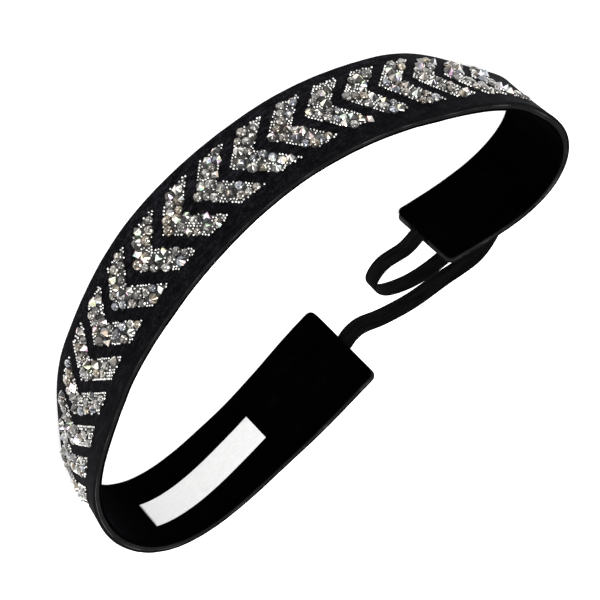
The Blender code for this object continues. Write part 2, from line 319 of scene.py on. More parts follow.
def add_rings(parts, s, w, depth, slot=0, strip_w=None):
    """Adds a tube laid on the band, from arrays with a row for each ring; strip_w is the material's own w."""
    strip = np.stack([s, w if strip_w is None else strip_w, depth], axis=-1) / MM
    parts.add(band_points(s, w, depth), strip, ring_faces(*s.shape), slot)


def add_strip(parts, places, section, seed, fray, slot=0, wave=0.0):
    """A closed strip along the band; wave is how far its surface undulates, fray how far its edges wander."""
    section_w, section_depth = section
    s = np.repeat(places[:, None], len(section_w), axis=1)
    middle = (section_w.min() + section_w.max()) / 2
    half = (section_w.max() - section_w.min()) / 2
    wander = edge_wander(places, seed, fray)
    share = (section_w - middle) / half
    inset = corner_inset(places)[:, None] + np.where(share < 0, wander[:, :1], wander[:, 1:])
    w = middle + share * (half - inset)
    depth = section_depth + 0 * s
    if wave:
        depth = depth + wave * ripple(s, w, seed, WAVE_SIZE)
    add_rings(parts, s, w, depth, slot)


# ---- node materials

# Millimetres: how far in the suede is worn, the elastic's cords and the rows of its braid, and the floats
# of the label's satin and the ties between them.
WEAR_REACH = 1.4
CORD_PITCH = 0.53
BRAID_PITCH = 0.75
FLOAT_PITCH = 0.22
TIE_PITCH = 0.9


def new_material(name, **values):
    material = bpy.data.materials.new(name)
    material.use_nodes = True
    shader = material.node_tree.nodes["Principled BSDF"]
    for socket, value in values.items():
        shader.inputs[socket.replace("_", " ")].default_value = value
    return material, material.node_tree, shader


def add_node(tree, kind, **settings):
    made = tree.nodes.new(kind)
    for key, value in settings.items():
        if key.startswith("in_"):
            made.inputs[key[3:].replace("_", " ")].default_value = value
        else:
            setattr(made, key, value)
    return made


def strip_place(tree, scale):
    """The place on the strip, s, w and depth in millimetres, times a scale for each."""
    place = add_node(tree, "ShaderNodeAttribute", attribute_name="strip")
    scaled = add_node(tree, "ShaderNodeVectorMath", operation="MULTIPLY")
    tree.links.new(place.outputs["Vector"], scaled.inputs[0])
    scaled.inputs[1].default_value = scale
    return scaled.outputs[0]


def strip_axes(tree, scale=(1.0, 1.0, 1.0)):
    """The scaled place on the strip, as separate values of s, w and depth."""
    place = strip_place(tree, scale)
    split = add_node(tree, "ShaderNodeSeparateXYZ")
    tree.links.new(place, split.inputs[0])
    return split.outputs


def noise_at(tree, place, scale, detail, rough):
    made = add_node(tree, "ShaderNodeTexNoise", in_Scale=scale, in_Detail=detail, in_Roughness=rough)
    tree.links.new(place, made.inputs["Vector"])
    return made.outputs["Fac"]


def strip_noise(tree, per_mm, detail=3.0, rough=0.6):
    """Noise over the strip, as fine as per_mm says for s, w and depth."""
    return noise_at(tree, strip_place(tree, per_mm), 1.0, detail, rough)


def math_node(tree, operation, a, b=0.0):
    made = add_node(tree, "ShaderNodeMath", operation=operation)
    for socket, value in zip(made.inputs, (a, b)):
        if isinstance(value, (int, float)):
            socket.default_value = value
        else:
            tree.links.new(value, socket)
    return made.outputs[0]


def times_plus(tree, value, factor, added):
    """value * factor + added."""
    return math_node(tree, "ADD", math_node(tree, "MULTIPLY", value, factor), added)


def weighted_sum(tree, first, first_share, second, second_share):
    first_part = math_node(tree, "MULTIPLY", first, first_share)
    second_part = math_node(tree, "MULTIPLY", second, second_share)
    return math_node(tree, "ADD", first_part, second_part)


def wave_along(tree, value, pitch):
    """A sine wave along a value in millimetres."""
    return math_node(tree, "SINE", math_node(tree, "MULTIPLY", value, 2 * math.pi / pitch))


def grey(value):
    return (value, value, value)


def ramp(tree, factor, stops):
    """A colour ramp; stops are (position, colour)."""
    made = add_node(tree, "ShaderNodeValToRGB")
    band = made.color_ramp
    while len(band.elements) < len(stops):
        band.elements.new(0.5)
    for element, (position, colour) in zip(band.elements, stops):
        element.position = position
        element.color = (*colour, 1)
    tree.links.new(factor, made.inputs["Fac"])
    return made.outputs["Color"]


def mix_colour(tree, factor, a, b, mode="MIX"):
    made = add_node(tree, "ShaderNodeMix", data_type="RGBA", blend_type=mode)
    for socket, value in ((made.inputs["Factor"], factor), (made.inputs[6], a), (made.inputs[7], b)):
        if isinstance(value, (int, float, tuple)):
            socket.default_value = value
        else:
            tree.links.new(value, socket)
    return made.outputs[2]


def multiply_colours(tree, a, b):
    return mix_colour(tree, 1.0, a, b, "MULTIPLY")


def set_colour(tree, shader, colour):
    tree.links.new(colour, shader.inputs["Base Color"])


def set_roughness(tree, shader, value, factor, added):
    """Roughness that follows a value: value * factor + added."""
    tree.links.new(times_plus(tree, value, factor, added), shader.inputs["Roughness"])


def add_bump(tree, shader, height, distance):
    made = add_node(tree, "ShaderNodeBump", in_Distance=distance, in_Strength=1.0)
    tree.links.new(height, made.inputs["Height"])
    tree.links.new(made.outputs["Normal"], shader.inputs["Normal"])


def edge_share(tree, reach):
    """1 at the band's two long edges, falling to 0 a reach in millimetres from them."""
    place = add_node(tree, "ShaderNodeAttribute", attribute_name="strip")
    split = add_node(tree, "ShaderNodeSeparateXYZ")
    tree.links.new(place.outputs["Vector"], split.inputs[0])
    middle = BAND_WIDTH / MM / 2
    off = math_node(tree, "ABSOLUTE", math_node(tree, "SUBTRACT", split.outputs["Y"], middle))
    near = add_node(tree, "ShaderNodeMapRange", interpolation_type="SMOOTHSTEP")
    near.inputs["From Min"].default_value = middle - reach
    near.inputs["From Max"].default_value = middle
    tree.links.new(off, near.inputs["Value"])
    return near.outputs["Result"]


def suede_material():
    """Black ultrasuede: a brushed nap, faintly mottled, darker towards the upper edge, worn at both edges."""
    material, tree, shader = new_material("suede_face", Specular_IOR_Level=0.02, Sheen_Weight=0.012,
                                          Sheen_Roughness=0.5, Sheen_Tint=(0.75, 0.75, 0.85, 1))
    grain = strip_noise(tree, (1.5, 2.1, 1.8), detail=4.0, rough=0.75)
    streak = strip_noise(tree, (0.35, 1.1, 0.4), rough=0.55)
    mottle = strip_noise(tree, (0.12, 0.12, 0.1), detail=2.0, rough=0.5)
    nap = weighted_sum(tree, grain, 0.6, streak, 0.4)
    dark = ramp(tree, nap, ((0.36, (0.0003, 0.0003, 0.0004)), (0.5, (0.0022, 0.0022, 0.0027)),
                            (0.66, (0.0125, 0.0122, 0.0145))))
    tone = ramp(tree, mottle, ((0.3, (0.75, 0.72, 0.72)), (0.7, (1.15, 1.12, 1.22))))
    _, rise, _ = strip_axes(tree, (1.0, MM / BAND_WIDTH, 1.0))
    laid = ramp(tree, rise, ((0.0, grey(1.25)), (1.0, grey(0.62))))
    base = multiply_colours(tree, multiply_colours(tree, dark, tone), laid)
    wear = math_node(tree, "MULTIPLY", edge_share(tree, WEAR_REACH), math_node(tree, "POWER", grain, 1.5))
    set_colour(tree, shader, mix_colour(tree, wear, base, (0.0032, 0.003, 0.0034, 1)))
    set_roughness(tree, shader, grain, 0.2, 0.78)
    add_bump(tree, shader, grain, 0.12 * MM)
    return material


def velvet_material():
    """Deep black velvet: a dense pile that crushes into slightly lighter, bluish patches."""
    material, tree, shader = new_material("velvet_lining", Specular_IOR_Level=0.003, Sheen_Weight=0.003,
                                          Sheen_Roughness=0.35, Sheen_Tint=(0.6, 0.6, 0.85, 1))
    pile = strip_noise(tree, (3.5, 3.5, 3.5), rough=0.65)
    crush = strip_noise(tree, (0.16, 0.26, 0.2), rough=0.5)
    dark = ramp(tree, crush, ((0.35, grey(0.0001)), (0.62, (0.0003, 0.0003, 0.0004)),
                              (0.8, (0.0008, 0.0007, 0.0012))))
    deep = ramp(tree, pile, ((0.35, grey(0.55)), (0.65, grey(1.35))))
    set_colour(tree, shader, multiply_colours(tree, dark, deep))
    set_roughness(tree, shader, pile, 0.15, 0.85)
    add_bump(tree, shader, pile, 0.15 * MM)
    return material


def interlining_material(name, low, high, fibre):
    """A felted or woven inner layer, seen at the band's cut edge, paler where the cutter bared its fibres."""
    material, tree, shader = new_material(name, Specular_IOR_Level=0.1)
    threads = strip_noise(tree, fibre)
    bared = strip_noise(tree, (0.11, 0.05, 0.1), detail=2.0, rough=0.5)
    patchy = math_node(tree, "POWER", math_node(tree, "MULTIPLY", bared, 2.0), 3.0)
    pale = math_node(tree, "MULTIPLY", threads, patchy)
    set_colour(tree, shader, ramp(tree, pale, ((0.35, low), (0.95, high))))
    set_roughness(tree, shader, threads, 0.2, 0.75)
    add_bump(tree, shader, threads, 0.1 * MM)
    return material


def elastic_material():
    """Black braided elastic: fine ribs along it, crossed by the herringbone of the braid."""
    material, tree, shader = new_material("ribbed_elastic", Specular_IOR_Level=0.02, Sheen_Weight=0.007,
                                          Sheen_Roughness=0.4, Sheen_Tint=(0.8, 0.85, 1.0, 1))
    s, w, _ = strip_axes(tree)
    rib = math_node(tree, "MULTIPLY", w, 2 * math.pi / CORD_PITCH)
    lean = math_node(tree, "MULTIPLY", math_node(tree, "SINE", math_node(tree, "MULTIPLY", rib, 0.5)), 0.9)
    cross = math_node(tree, "MULTIPLY", s, 2 * math.pi / BRAID_PITCH)
    braid = math_node(tree, "SINE", math_node(tree, "ADD", cross, lean))
    fuzz = strip_noise(tree, (3.0, 5.0, 5.0))
    height = times_plus(tree, braid, 0.25, fuzz)
    cords = strip_noise(tree, (0.15, 1.6, 1.6), detail=2.0, rough=0.5)
    shade = weighted_sum(tree, fuzz, 0.45, cords, 0.55)
    tone = times_plus(tree, braid, 0.04, shade)
    dark = ramp(tree, tone, ((0.38, grey(0.0003)), (0.64, (0.004, 0.0041, 0.0044))))
    set_colour(tree, shader, dark)
    set_roughness(tree, shader, fuzz, 0.25, 0.6)
    add_bump(tree, shader, height, 0.08 * MM)
    return material


def satin_material():
    """White woven satin: fine floats along the label, with faint slubs."""
    material, tree, shader = new_material("label_satin", Specular_IOR_Level=0.3, Sheen_Weight=0.1,
                                          Sheen_Roughness=0.3)
    s, w, _ = strip_axes(tree)
    floats = wave_along(tree, w, FLOAT_PITCH)
    ties = wave_along(tree, s, TIE_PITCH)
    weave = weighted_sum(tree, floats, 0.5, ties, 0.15)
    slub = strip_noise(tree, (0.5, 4.0, 1.0))
    tone = times_plus(tree, weave, 0.08, slub)
    set_colour(tree, shader, ramp(tree, tone, ((0.25, grey(0.47)), (0.75, (0.575, 0.575, 0.572)))))
    set_roughness(tree, shader, slub, 0.2, 0.4)
    add_bump(tree, shader, weave, 0.03 * MM)
    return material


def thread_material():
    """Black sewing thread with its fibres."""
    material, tree, shader = new_material("black_thread", Specular_IOR_Level=0.1, Sheen_Weight=0.02)
    fibres = strip_noise(tree, (4.0, 1.0, 4.0))
    dark = ramp(tree, fibres, ((0.3, (0.0015, 0.0015, 0.0016)), (0.7, (0.007, 0.007, 0.0075))))
    set_colour(tree, shader, dark)
    set_roughness(tree, shader, fibres, 0.2, 0.45)
    add_bump(tree, shader, fibres, 0.05 * MM)
    return material


def tinted(tree, shader, low, high, scale):
    """Colours a material by its faces' tints, with a fine cloudiness from low to high."""
    tint = add_node(tree, "ShaderNodeAttribute", attribute_name="tint")
    cloud = strip_noise(tree, (scale, scale, scale), detail=2.0, rough=0.5)
    shade = ramp(tree, cloud, ((0.3, grey(low)), (0.7, grey(high))))
    set_colour(tree, shader, multiply_colours(tree, tint.outputs["Color"], shade))
    return cloud


def film_material():
    """The dark grey carrier film, glossier where the adhesive has pooled."""
    material, tree, shader = new_material("carrier_film", Specular_IOR_Level=0.3)
    pool = strip_noise(tree, (2.0, 2.0, 2.0))
    set_colour(tree, shader, ramp(tree, pool, ((0.3, grey(0.004)), (0.7, (0.035, 0.034, 0.033)))))
    gloss = math_node(tree, "MULTIPLY", pool, 0.4)
    tree.links.new(math_node(tree, "SUBTRACT", 0.7, gloss), shader.inputs["Roughness"])
    add_bump(tree, shader, pool, 0.05 * MM)
    return material


def crystal_material():
    """Foiled smoky crystal: each facet has its own tone, a painted reflection, with a few painted glints."""
    material, tree, shader = new_material("smoky_crystal", Metallic=0.85, Specular_IOR_Level=0.6,
                                          Coat_Weight=0.2, Coat_Roughness=0.04, Coat_IOR=1.55)
    cloud = tinted(tree, shader, 0.82, 1.1, 1.6)
    set_roughness(tree, shader, cloud, 0.12, 0.08)
    return material


def bead_material():
    """Bright silver micro beads, faintly clouded."""
    material, tree, shader = new_material("silver_beads", Metallic=1.0)
    cloud = tinted(tree, shader, 0.88, 1.05, 2.5)
    set_roughness(tree, shader, cloud, 0.1, 0.14)
    return material


# ---- fabric layers

SUEDE_INNER = 0.6 * MM
FELT_INNER = 0.4 * MM
BACKING_INNER = -0.4 * MM
BOND_INNER = -0.6 * MM
SUEDE_EDGE = 0.35 * MM
SUEDE_WAVE = 0.07 * MM
SUEDE_SEED = 3
VELVET_EDGE = 0.38 * MM
VELVET_WAVE = 0.09 * MM
VELVET_SEED = 5
OUTER_FRAY = 0.12 * MM
INNER_EDGE = 0.15 * MM
INNER_FRAY = 0.3 * MM
INNER_SEED = 20
FELTED = (1.5, 3.0, 3.0)
WOVEN = (3.0, 2.0, 3.0)

# The joint and the blend direction for each half of the band, which bend() looks up. A blend's direction
# leans towards the back, because the sides wrap round it.
BLENDS = {
    "right": ("right_side_flex", (0.45, 0.89)),
    "left": ("left_side_flex", (-0.3, 0.954)),
}


def bend(obj, side):
    """Looks up the side's joint and bakes the piece's transform into its mesh; no blend between the front and
    the side is made.
    """
    joint, direction = BLENDS[side]
    place = Vector(joint_place(joint))
    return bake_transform(obj)


def make_layer(name, side, nodes, inner, outer, material, radius, seed, wave):
    """One half of an outer layer, from its middle to its end."""
    parts = Parts()
    section = rounded_section(0, BAND_WIDTH, inner, outer, radius, rows=14)
    add_strip(parts, half_places(side), section, seed=seed, wave=wave, fray=OUTER_FRAY)
    obj = parts.build(name + "_" + side, [material], sharp=50)
    bend(obj, side)
    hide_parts(*nodes)


def make_interlining(side, nodes, materials):
    """Three thin layers between face and lining, open at the end where the elastic's tab lies."""
    parts = Parts()
    layers = ((FELT_INNER, SUEDE_INNER), (BACKING_INNER, FELT_INNER), (BOND_INNER, BACKING_INNER))
    pocket_from = END - TAB_LENGTH - POCKET_MARGIN
    half_slot = ELASTIC_WIDTH / 2 + POCKET_MARGIN
    spans = (
        (0, pocket_from, 0, BAND_WIDTH),
        (pocket_from, END, 0, TAB_W[side] - half_slot),
        (pocket_from, END, TAB_W[side] + half_slot, BAND_WIDTH),
    )
    for slot, (inner, outer) in enumerate(layers):
        for start, stop, low, high in spans:
            radius = min(0.45 * (outer - inner), INNER_EDGE)
            section = rounded_section(low, high, inner, outer, radius, rows=4, steps=2)
            places = half_places(side, start, stop)
            add_strip(parts, places, section, slot=slot, seed=INNER_SEED + slot, fray=INNER_FRAY)
    obj = parts.build("interlining_" + side, materials, sharp=50)
    bend(obj, side)
    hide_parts(*nodes)


def make_fabric():
    suede = suede_material()
    velvet = velvet_material()
    inner = [
        interlining_material("interlining_felt", (0.005, 0.005, 0.0055), (0.06, 0.058, 0.06), FELTED),
        interlining_material("interlining_backing", grey(0.0006), grey(0.003), WOVEN),
        interlining_material("interlining_bond", (0.0012, 0.0012, 0.0014), (0.008, 0.0078, 0.009), FELTED),
    ]
    for side in ("right", "left"):
        make_layer("suede_face", side, ("face_front", "face_" + side), SUEDE_INNER,
                   HALF_THICKNESS, suede, radius=SUEDE_EDGE, seed=SUEDE_SEED, wave=SUEDE_WAVE)
        make_layer("velvet_pile", side, ("lining_front", "lining_" + side), -HALF_THICKNESS,
                   BOND_INNER, velvet, radius=VELVET_EDGE, seed=VELVET_SEED, wave=VELVET_WAVE)
        make_interlining(side, ("core_front", "core_" + side), inner)


# ---- crystal chevrons

CHEVRON_SEED = 4100
POINT_RADII = (1.25 * MM, 1.75 * MM)
ROUND_RADII = (1.25 * MM, 1.65 * MM)
STONE_TRIES = 2500
LOW_ARM_STONES = (6, 11)
HIGH_ARM_STONES = (7, 13)
STONE_INSIDE = 0.4
STONE_CROWDING = 0.8
BEAD_RADIUS = 0.38 * MM
BEAD_SIZES = (0.88, 1.08)
BEAD_SPACING = 0.86 * MM
BEAD_ROW_SPACING = 0.87 * BEAD_SPACING
BEAD_CROWDING = 0.84
BEAD_JITTER = 0.1 * MM
BEADS_LEFT_OUT = 0.05
BEAD_SUNK = math.radians(35)
STONE_BASE = HALF_THICKNESS - 0.05 * MM
FILM_INSET = 0.25 * MM
FILM_RISE = 0.08 * MM
FILM_LOW_ROWS = 7
FILM_HIGH_ROWS = 9
FILM_COLUMNS = 9

# Stone colours. The first is the warm white of the painted glints and painted highlights on the stones.
PAINTED_GLINT_WHITE = (1.0, 0.95, 0.87)
SMOKE = (0.94, 0.91, 0.87)
TAUPE = (1.0, 0.92, 0.82)
BLUE_GREY = (0.84, 0.88, 0.97)
CHAMPAGNE = (1.0, 0.86, 0.66)
STONE_COLOURS = (SMOKE, SMOKE, SMOKE, TAUPE, BLUE_GREY, CHAMPAGNE)
STONE_LEVELS = (0.2, 0.35, 0.55)
# Painted reflections: each facet gets a random share of its stone's level, and some facets get a painted
# glint or a painted highlight.
PAINTED_GLINT_CHANCE = {"point": 0.12, "round": 0.08}
PAINTED_GLINT_TONES = (0.5, 0.82)
PAINTED_HIGHLIGHT_TONES = (0.55, 0.9)
BEAD_TONES = (0.3, 0.8)
BEAD_COLOUR = (1.0, 0.99, 0.96)
STONE_TILT = {"point": 14, "round": 9}


def chevron_lead(vertex_s, w):
    """The chevron's front edge at one width; it falls back from the vertex both ways."""
    slope = CHEVRON_LOW_SLOPE if w < CHEVRON_VERTEX_W else CHEVRON_HIGH_SLOPE
    return vertex_s - slope * abs(w - CHEVRON_VERTEX_W)


def edge_distance(s, w, vertex_s):
    """How far inside the chevron a point is; negative outside it."""
    lead = chevron_lead(vertex_s, w)
    across = min(lead - s, s - (lead - CHEVRON_STRIPE)) / math.sqrt(2)
    return min(across, w - CHEVRON_LOW_W, CHEVRON_HIGH_W - w)


def place_stones(vertex_s, draw):
    """Seeded places for the large stones, as (s, w, radius, kind): crowded, some of them over the edge."""
    stones = []
    room = [draw.randint(*LOW_ARM_STONES), draw.randint(*HIGH_ARM_STONES)]
    for _ in range(STONE_TRIES):
        w = draw.uniform(CHEVRON_LOW_W, CHEVRON_HIGH_W)
        s = chevron_lead(vertex_s, w) - draw.uniform(0, CHEVRON_STRIPE)
        pointed = draw.random() < 0.5
        radius = draw.uniform(*(POINT_RADII if pointed else ROUND_RADII))
        arm = 0 if w < CHEVRON_VERTEX_W else 1
        if room[arm] == 0 or edge_distance(s, w, vertex_s) < radius * STONE_INSIDE:
            continue
        if any(math.hypot(s - a, w - b) < STONE_CROWDING * (radius + r) for a, b, r, _ in stones):
            continue
        stones.append((s, w, radius, "point" if pointed else "round"))
        room[arm] -= 1
    return stones


def bead_fits(s, w, stones, beads):
    """Whether a bead has room beside the stones and the beads already placed."""
    if any(math.hypot(s - a, w - b) < BEAD_CROWDING * r + 0.9 * BEAD_RADIUS for a, b, r, _ in stones):
        return False
    return all(math.hypot(s - a, w - b) > BEAD_CROWDING * BEAD_SPACING for a, b in beads)


def bead_grid(vertex_s, low, high, slope):
    """Places in rows along one arm of a chevron, every other row half a step on."""
    stretch = math.hypot(1, slope)
    rows = round(CHEVRON_STRIPE / stretch / BEAD_ROW_SPACING)
    step = BEAD_SPACING / stretch
    for row in range(rows + 1):
        for column in range(int((high - low) / step) + 1):
            w = low + (column + 0.5 * (row % 2)) * step
            yield chevron_lead(vertex_s, w) - CHEVRON_STRIPE * row / rows, w


def place_beads(vertex_s, stones, draw):
    """Seeded places for the beads: rows along each arm's edges, set close, wherever the stones leave room."""
    beads = []
    grids = (bead_grid(vertex_s, CHEVRON_LOW_W, CHEVRON_VERTEX_W, CHEVRON_LOW_SLOPE),
             bead_grid(vertex_s, CHEVRON_VERTEX_W, CHEVRON_HIGH_W, CHEVRON_HIGH_SLOPE))
    for grid in grids:
        for s, w in grid:
            s += draw.uniform(-1, 1) * BEAD_JITTER
            w += draw.uniform(-1, 1) * BEAD_JITTER
            if w >= CHEVRON_HIGH_W + BEAD_JITTER or draw.random() <= BEADS_LEFT_OUT:
                continue
            if bead_fits(s, w, stones, beads):
                beads.append((s, w))
    return beads


def add_film(parts, vertex_s):
    """The thin film that the beads and the stones are fused to."""
    low_widths = np.linspace(CHEVRON_LOW_W + FILM_INSET, CHEVRON_VERTEX_W, FILM_LOW_ROWS)
    high_widths = np.linspace(CHEVRON_VERTEX_W, CHEVRON_HIGH_W - FILM_INSET, FILM_HIGH_ROWS)
    widths = np.concatenate([low_widths, high_widths[1:]])
    across = np.linspace(0, 1, FILM_COLUMNS)
    lead = np.array([chevron_lead(vertex_s, w) for w in widths])[:, None] - FILM_INSET
    s = lead - (CHEVRON_STRIPE - 2 * FILM_INSET) * np.concatenate([across, across[::-1]])
    w = widths[:, None] + 0 * s
    levels = (HALF_THICKNESS - FILM_RISE, HALF_THICKNESS + FILM_RISE)
    depth = np.repeat(levels, FILM_COLUMNS) + 0 * s
    add_rings(parts, s, w, depth, slot=2)


def ring(radius, height, count, turn=0.0):
    """Points evenly round a circle at one height."""
    angle = np.arange(count) * 2 * math.pi / count + turn
    return np.stack([radius * np.cos(angle), radius * np.sin(angle), np.full(count, height)], axis=-1)


def painted_reflection_tints(draw, count, kind):
    """Painted reflections on a stone's facets: mostly random smoky shades, a few painted glints of white."""
    colour = draw.choice(STONE_COLOURS)
    level = draw.choice(STONE_LEVELS)
    tints = []
    for _ in range(count):
        value = draw.betavariate(1.1, 2.4) * level + 0.02
        if draw.random() < PAINTED_GLINT_CHANCE[kind]:
            value = draw.uniform(*PAINTED_GLINT_TONES)
            tints.append(tuple(value * c for c in PAINTED_GLINT_WHITE))
        else:
            tints.append(tuple(value * c for c in colour))
    return tints


def wall(low, high, count):
    """Quads between two rings of count points, given by their first points."""
    return [(low + i, low + (i + 1) % count, high + (i + 1) % count, high + i) for i in range(count)]


def pointed_stone(radius, draw):
    """A chaton set upside down: a skirt up to its girdle, then a few long facets to its point."""
    count = draw.choice((4, 5, 6, 8))
    height = radius * draw.uniform(1.05, 1.3)
    girdle = 0.28 * radius
    rings = [ring(0.8 * radius, 0, count), ring(radius, girdle, count), ring(0.06 * radius, height, count)]
    points = np.concatenate(rings)
    faces = [tuple(reversed(range(count)))]
    for low in (0, count):
        faces += wall(low, low + count, count)
    faces.append(tuple(range(2 * count, 3 * count)))
    tints = painted_reflection_tints(draw, len(faces), "point")
    # One or two facets next to each other get a painted highlight.
    bright = draw.randrange(count)
    for step in range(draw.choice((1, 1, 2))):
        facet = 1 + count + (bright + step) % count
        tints[facet] = tuple(draw.uniform(*PAINTED_HIGHLIGHT_TONES) * c for c in PAINTED_GLINT_WHITE)
    return points, faces, tints


def round_stone(radius, draw):
    """A chaton set face up: its girdle, two rows of crown facets, and a table, every facet toned with a
    painted reflection.
    """
    count = 8
    sides = 2 * count
    points = np.concatenate([
        ring(0.85 * radius, 0, sides),
        ring(radius, 0.38 * radius, sides),
        ring(0.8 * radius, 0.66 * radius, count, math.pi / count),
        ring(0.52 * radius, 0.84 * radius, count),
        ring(0.24 * radius, 0.85 * radius, count, math.pi / count),
        [[0, 0, 0.85 * radius]],
    ])
    girdle = sides
    crown = girdle + sides
    table = crown + count
    star = table + count
    middle = star + count
    faces = [tuple(reversed(range(sides)))] + wall(0, girdle, sides)
    for i in range(count):
        k = (i + 1) % count
        before = (i - 1) % count
        faces.append((girdle + 2 * i, girdle + 2 * i + 1, crown + i))
        faces.append((girdle + 2 * i + 1, girdle + (2 * i + 2) % sides, crown + i))
        faces.append((girdle + 2 * i, crown + i, table + i, crown + before))
        faces.append((table + i, crown + i, table + k))
        faces.append((table + i, table + k, star + i))
        faces.append((star + i, table + k, star + k))
        faces.append((star + i, star + k, middle))
    return points, faces, painted_reflection_tints(draw, len(faces), "round")


def dome(radius, around=10, levels=5):
    """A bead with its foot sunk in the cloth."""
    angles = np.linspace(-BEAD_SUNK, math.radians(90), levels + 1)
    sunk = math.sin(BEAD_SUNK)
    rings = [ring(radius * math.cos(a), radius * (math.sin(a) + sunk), around) for a in angles[:-1]]
    points = np.concatenate(rings + [[[0, 0, radius * (1 + sunk)]]])
    faces = [tuple(reversed(range(around)))]
    for level in range(levels - 1):
        faces += wall(level * around, (level + 1) * around, around)
    base = (levels - 1) * around
    faces += [(base + i, base + (i + 1) % around, len(points) - 1) for i in range(around)]
    return points, faces


def set_on_band(local, s, w, turn, tilt, tilt_way):
    """Places a stone's points on the band's face, turned about its axis and then tilted."""
    spin = Matrix.Rotation(turn, 3, "Z")
    lean = Matrix.Rotation(tilt, 3, Vector((math.cos(tilt_way), math.sin(tilt_way), 0)))
    local = local @ np.array(lean @ spin).T
    origin, axes = surface_frame(s, w, STONE_BASE)
    return origin + local @ axes


def add_stone(parts, s, w, radius, kind, draw):
    points, faces, tints = pointed_stone(radius, draw) if kind == "point" else round_stone(radius, draw)
    tilt = math.radians(draw.uniform(0, STONE_TILT[kind]))
    turn = draw.uniform(0, 2 * math.pi)
    tilt_way = draw.uniform(0, 2 * math.pi)
    placed = set_on_band(points, s, w, turn, tilt, tilt_way)
    strip = points / MM + np.array([s, w, draw.uniform(0, 50) * MM]) / MM
    parts.add(placed, strip, faces, 0, tints)


def add_bead(parts, s, w, template, draw):
    points, faces = template
    size = draw.uniform(*BEAD_SIZES)
    placed = set_on_band(points * size, s, w, draw.uniform(0, 1), 0.0, 0.0)
    value = draw.uniform(*BEAD_TONES)
    tint = tuple(value * c for c in BEAD_COLOUR)
    parts.add(placed, points / MM + np.array([s, w, 0]) / MM, faces, 1, [tint] * len(faces))


def make_chevron(number, vertex_s, materials):
    draw = random.Random(CHEVRON_SEED + number)
    stones = place_stones(vertex_s, draw)
    parts = Parts()
    add_film(parts, vertex_s)
    for s, w, radius, kind in stones:
        add_stone(parts, s, w, radius, kind, draw)
    template = dome(BEAD_RADIUS)
    for s, w in place_beads(vertex_s, stones, draw):
        add_bead(parts, s, w, template, draw)
    obj = parts.build(f"crystals_{number:02d}", materials, sharp=60, smooth_slots=(1, 2))
    middle = vertex_s - CHEVRON_STRIPE / 2
    bend(obj, "right" if middle > 0 else "left")
    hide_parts(f"chevron_{number:02d}")


def make_chevrons():
    materials = [crystal_material(), bead_material(), film_material()]
    for index in range(CHEVRON_COUNT):
        make_chevron(index + 1, CHEVRON_FIRST - CHEVRON_PITCH * index, materials)


# ---- elastic

RIB_COUNT = 12
RIB_SAMPLES = 4
RIB_HEIGHT = 0.05 * MM
EDGE_SQUARENESS = 12
EDGE_THINNESS = 0.25
ELASTIC_STEP = 0.8 * MM
HEADING_REACH = 1.0 * MM

# The free elastic starts and ends this far inside the band, so that no cut end of it shows.
EXIT_DEPTH = 0.4 * MM


def rib_section():
    """The elastic's section, as offsets across and through it: ribs on both faces, and thin rounded edges."""
    across = np.linspace(-1, 1, RIB_COUNT * RIB_SAMPLES + 1) * ELASTIC_WIDTH / 2
    edge = np.sqrt(np.clip(1 - np.abs(across / (ELASTIC_WIDTH / 2)) ** EDGE_SQUARENESS, 0, 1))
    ribs = np.cos(across / ELASTIC_WIDTH * 2 * math.pi * RIB_COUNT) * RIB_HEIGHT
    through = (ELASTIC_THICKNESS / 2 - RIB_HEIGHT + ribs) * np.maximum(edge, EDGE_THINNESS)
    return np.concatenate([across, across[::-1]]), np.concatenate([through, -through[::-1]])


def spline(points, samples_each=12):
    """A smooth line through the points, after Catmull and Rom."""
    padded = [points[0] * 2 - points[1]] + points + [points[-1] * 2 - points[-2]]
    line = []
    for i in range(1, len(padded) - 2):
        before, start, stop, after = padded[i - 1:i + 3]
        for k in range(samples_each):
            t = k / samples_each
            point = start + (stop - before) * (t / 2)
            point += (before * 2 - start * 5 + stop * 4 - after) * (t * t / 2)
            point += (start * 3 - before - stop * 3 + after) * (t**3 / 2)
            line.append(point)
    return line + [points[-1]]


def plan_at(s):
    """The band's middle line at s, as a point at the floor."""
    return Vector((float(np.interp(s, PLAN_S, PLAN_X)), float(np.interp(s, PLAN_S, PLAN_Y)), 0))


def free_elastic_line():
    """The free elastic's line in plan: distances along it, and the points there."""
    front = plan_at(0)
    points = [plan_at(END - EXIT_DEPTH), plan_at(END)]
    points += [front + Vector((x * MM, y * MM, 0)) for x, y in ELASTIC_PATH_MM]
    points += [plan_at(-END), plan_at(-END + EXIT_DEPTH)]
    line = spline(points)
    run = np.cumsum([0] + [(b - a).length for a, b in zip(line, line[1:])])
    return run, np.array([tuple(p) for p in line])


def line_place(run, coords, d):
    """Points of a line at distances d along it."""
    return np.stack([np.interp(d, run, coords[:, axis]) for axis in range(3)], axis=-1)


def free_elastic_frames(run, coords, d):
    """The free elastic's middle, and the directions across and through it, at distances d along it."""
    total = run[-1]
    ahead = line_place(run, coords, np.minimum(d + HEADING_REACH, total))
    ahead -= line_place(run, coords, np.maximum(d - HEADING_REACH, 0))
    side = np.stack([ahead[:, 1], -ahead[:, 0], 0 * d], axis=-1)
    side /= np.linalg.norm(side, axis=1)[:, None]
    share = d / total
    leans = (float(lean_at(END)), -float(lean_at(-END)))
    leaving = smooth(np.clip(1 - share / RIGHT_UNTWIST_SHARE, 0, 1))
    arriving = smooth(np.clip(1 - (1 - share) / LEFT_UNTWIST_SHARE, 0, 1))
    lean = leans[0] * leaving + leans[1] * arriving
    heights = (TAB_W["right"] * math.cos(leans[0]), TAB_W["left"] * math.cos(leans[1]))
    height = heights[0] * (1 - share) + heights[1] * share
    middle = line_place(run, coords, d) + np.stack([0 * d, 0 * d, height], axis=-1)
    up = np.array([0, 0, 1.0])
    across = side * np.sin(lean)[:, None] + up * np.cos(lean)[:, None]
    through = side * np.cos(lean)[:, None] - up * np.sin(lean)[:, None]
    return middle, across, through


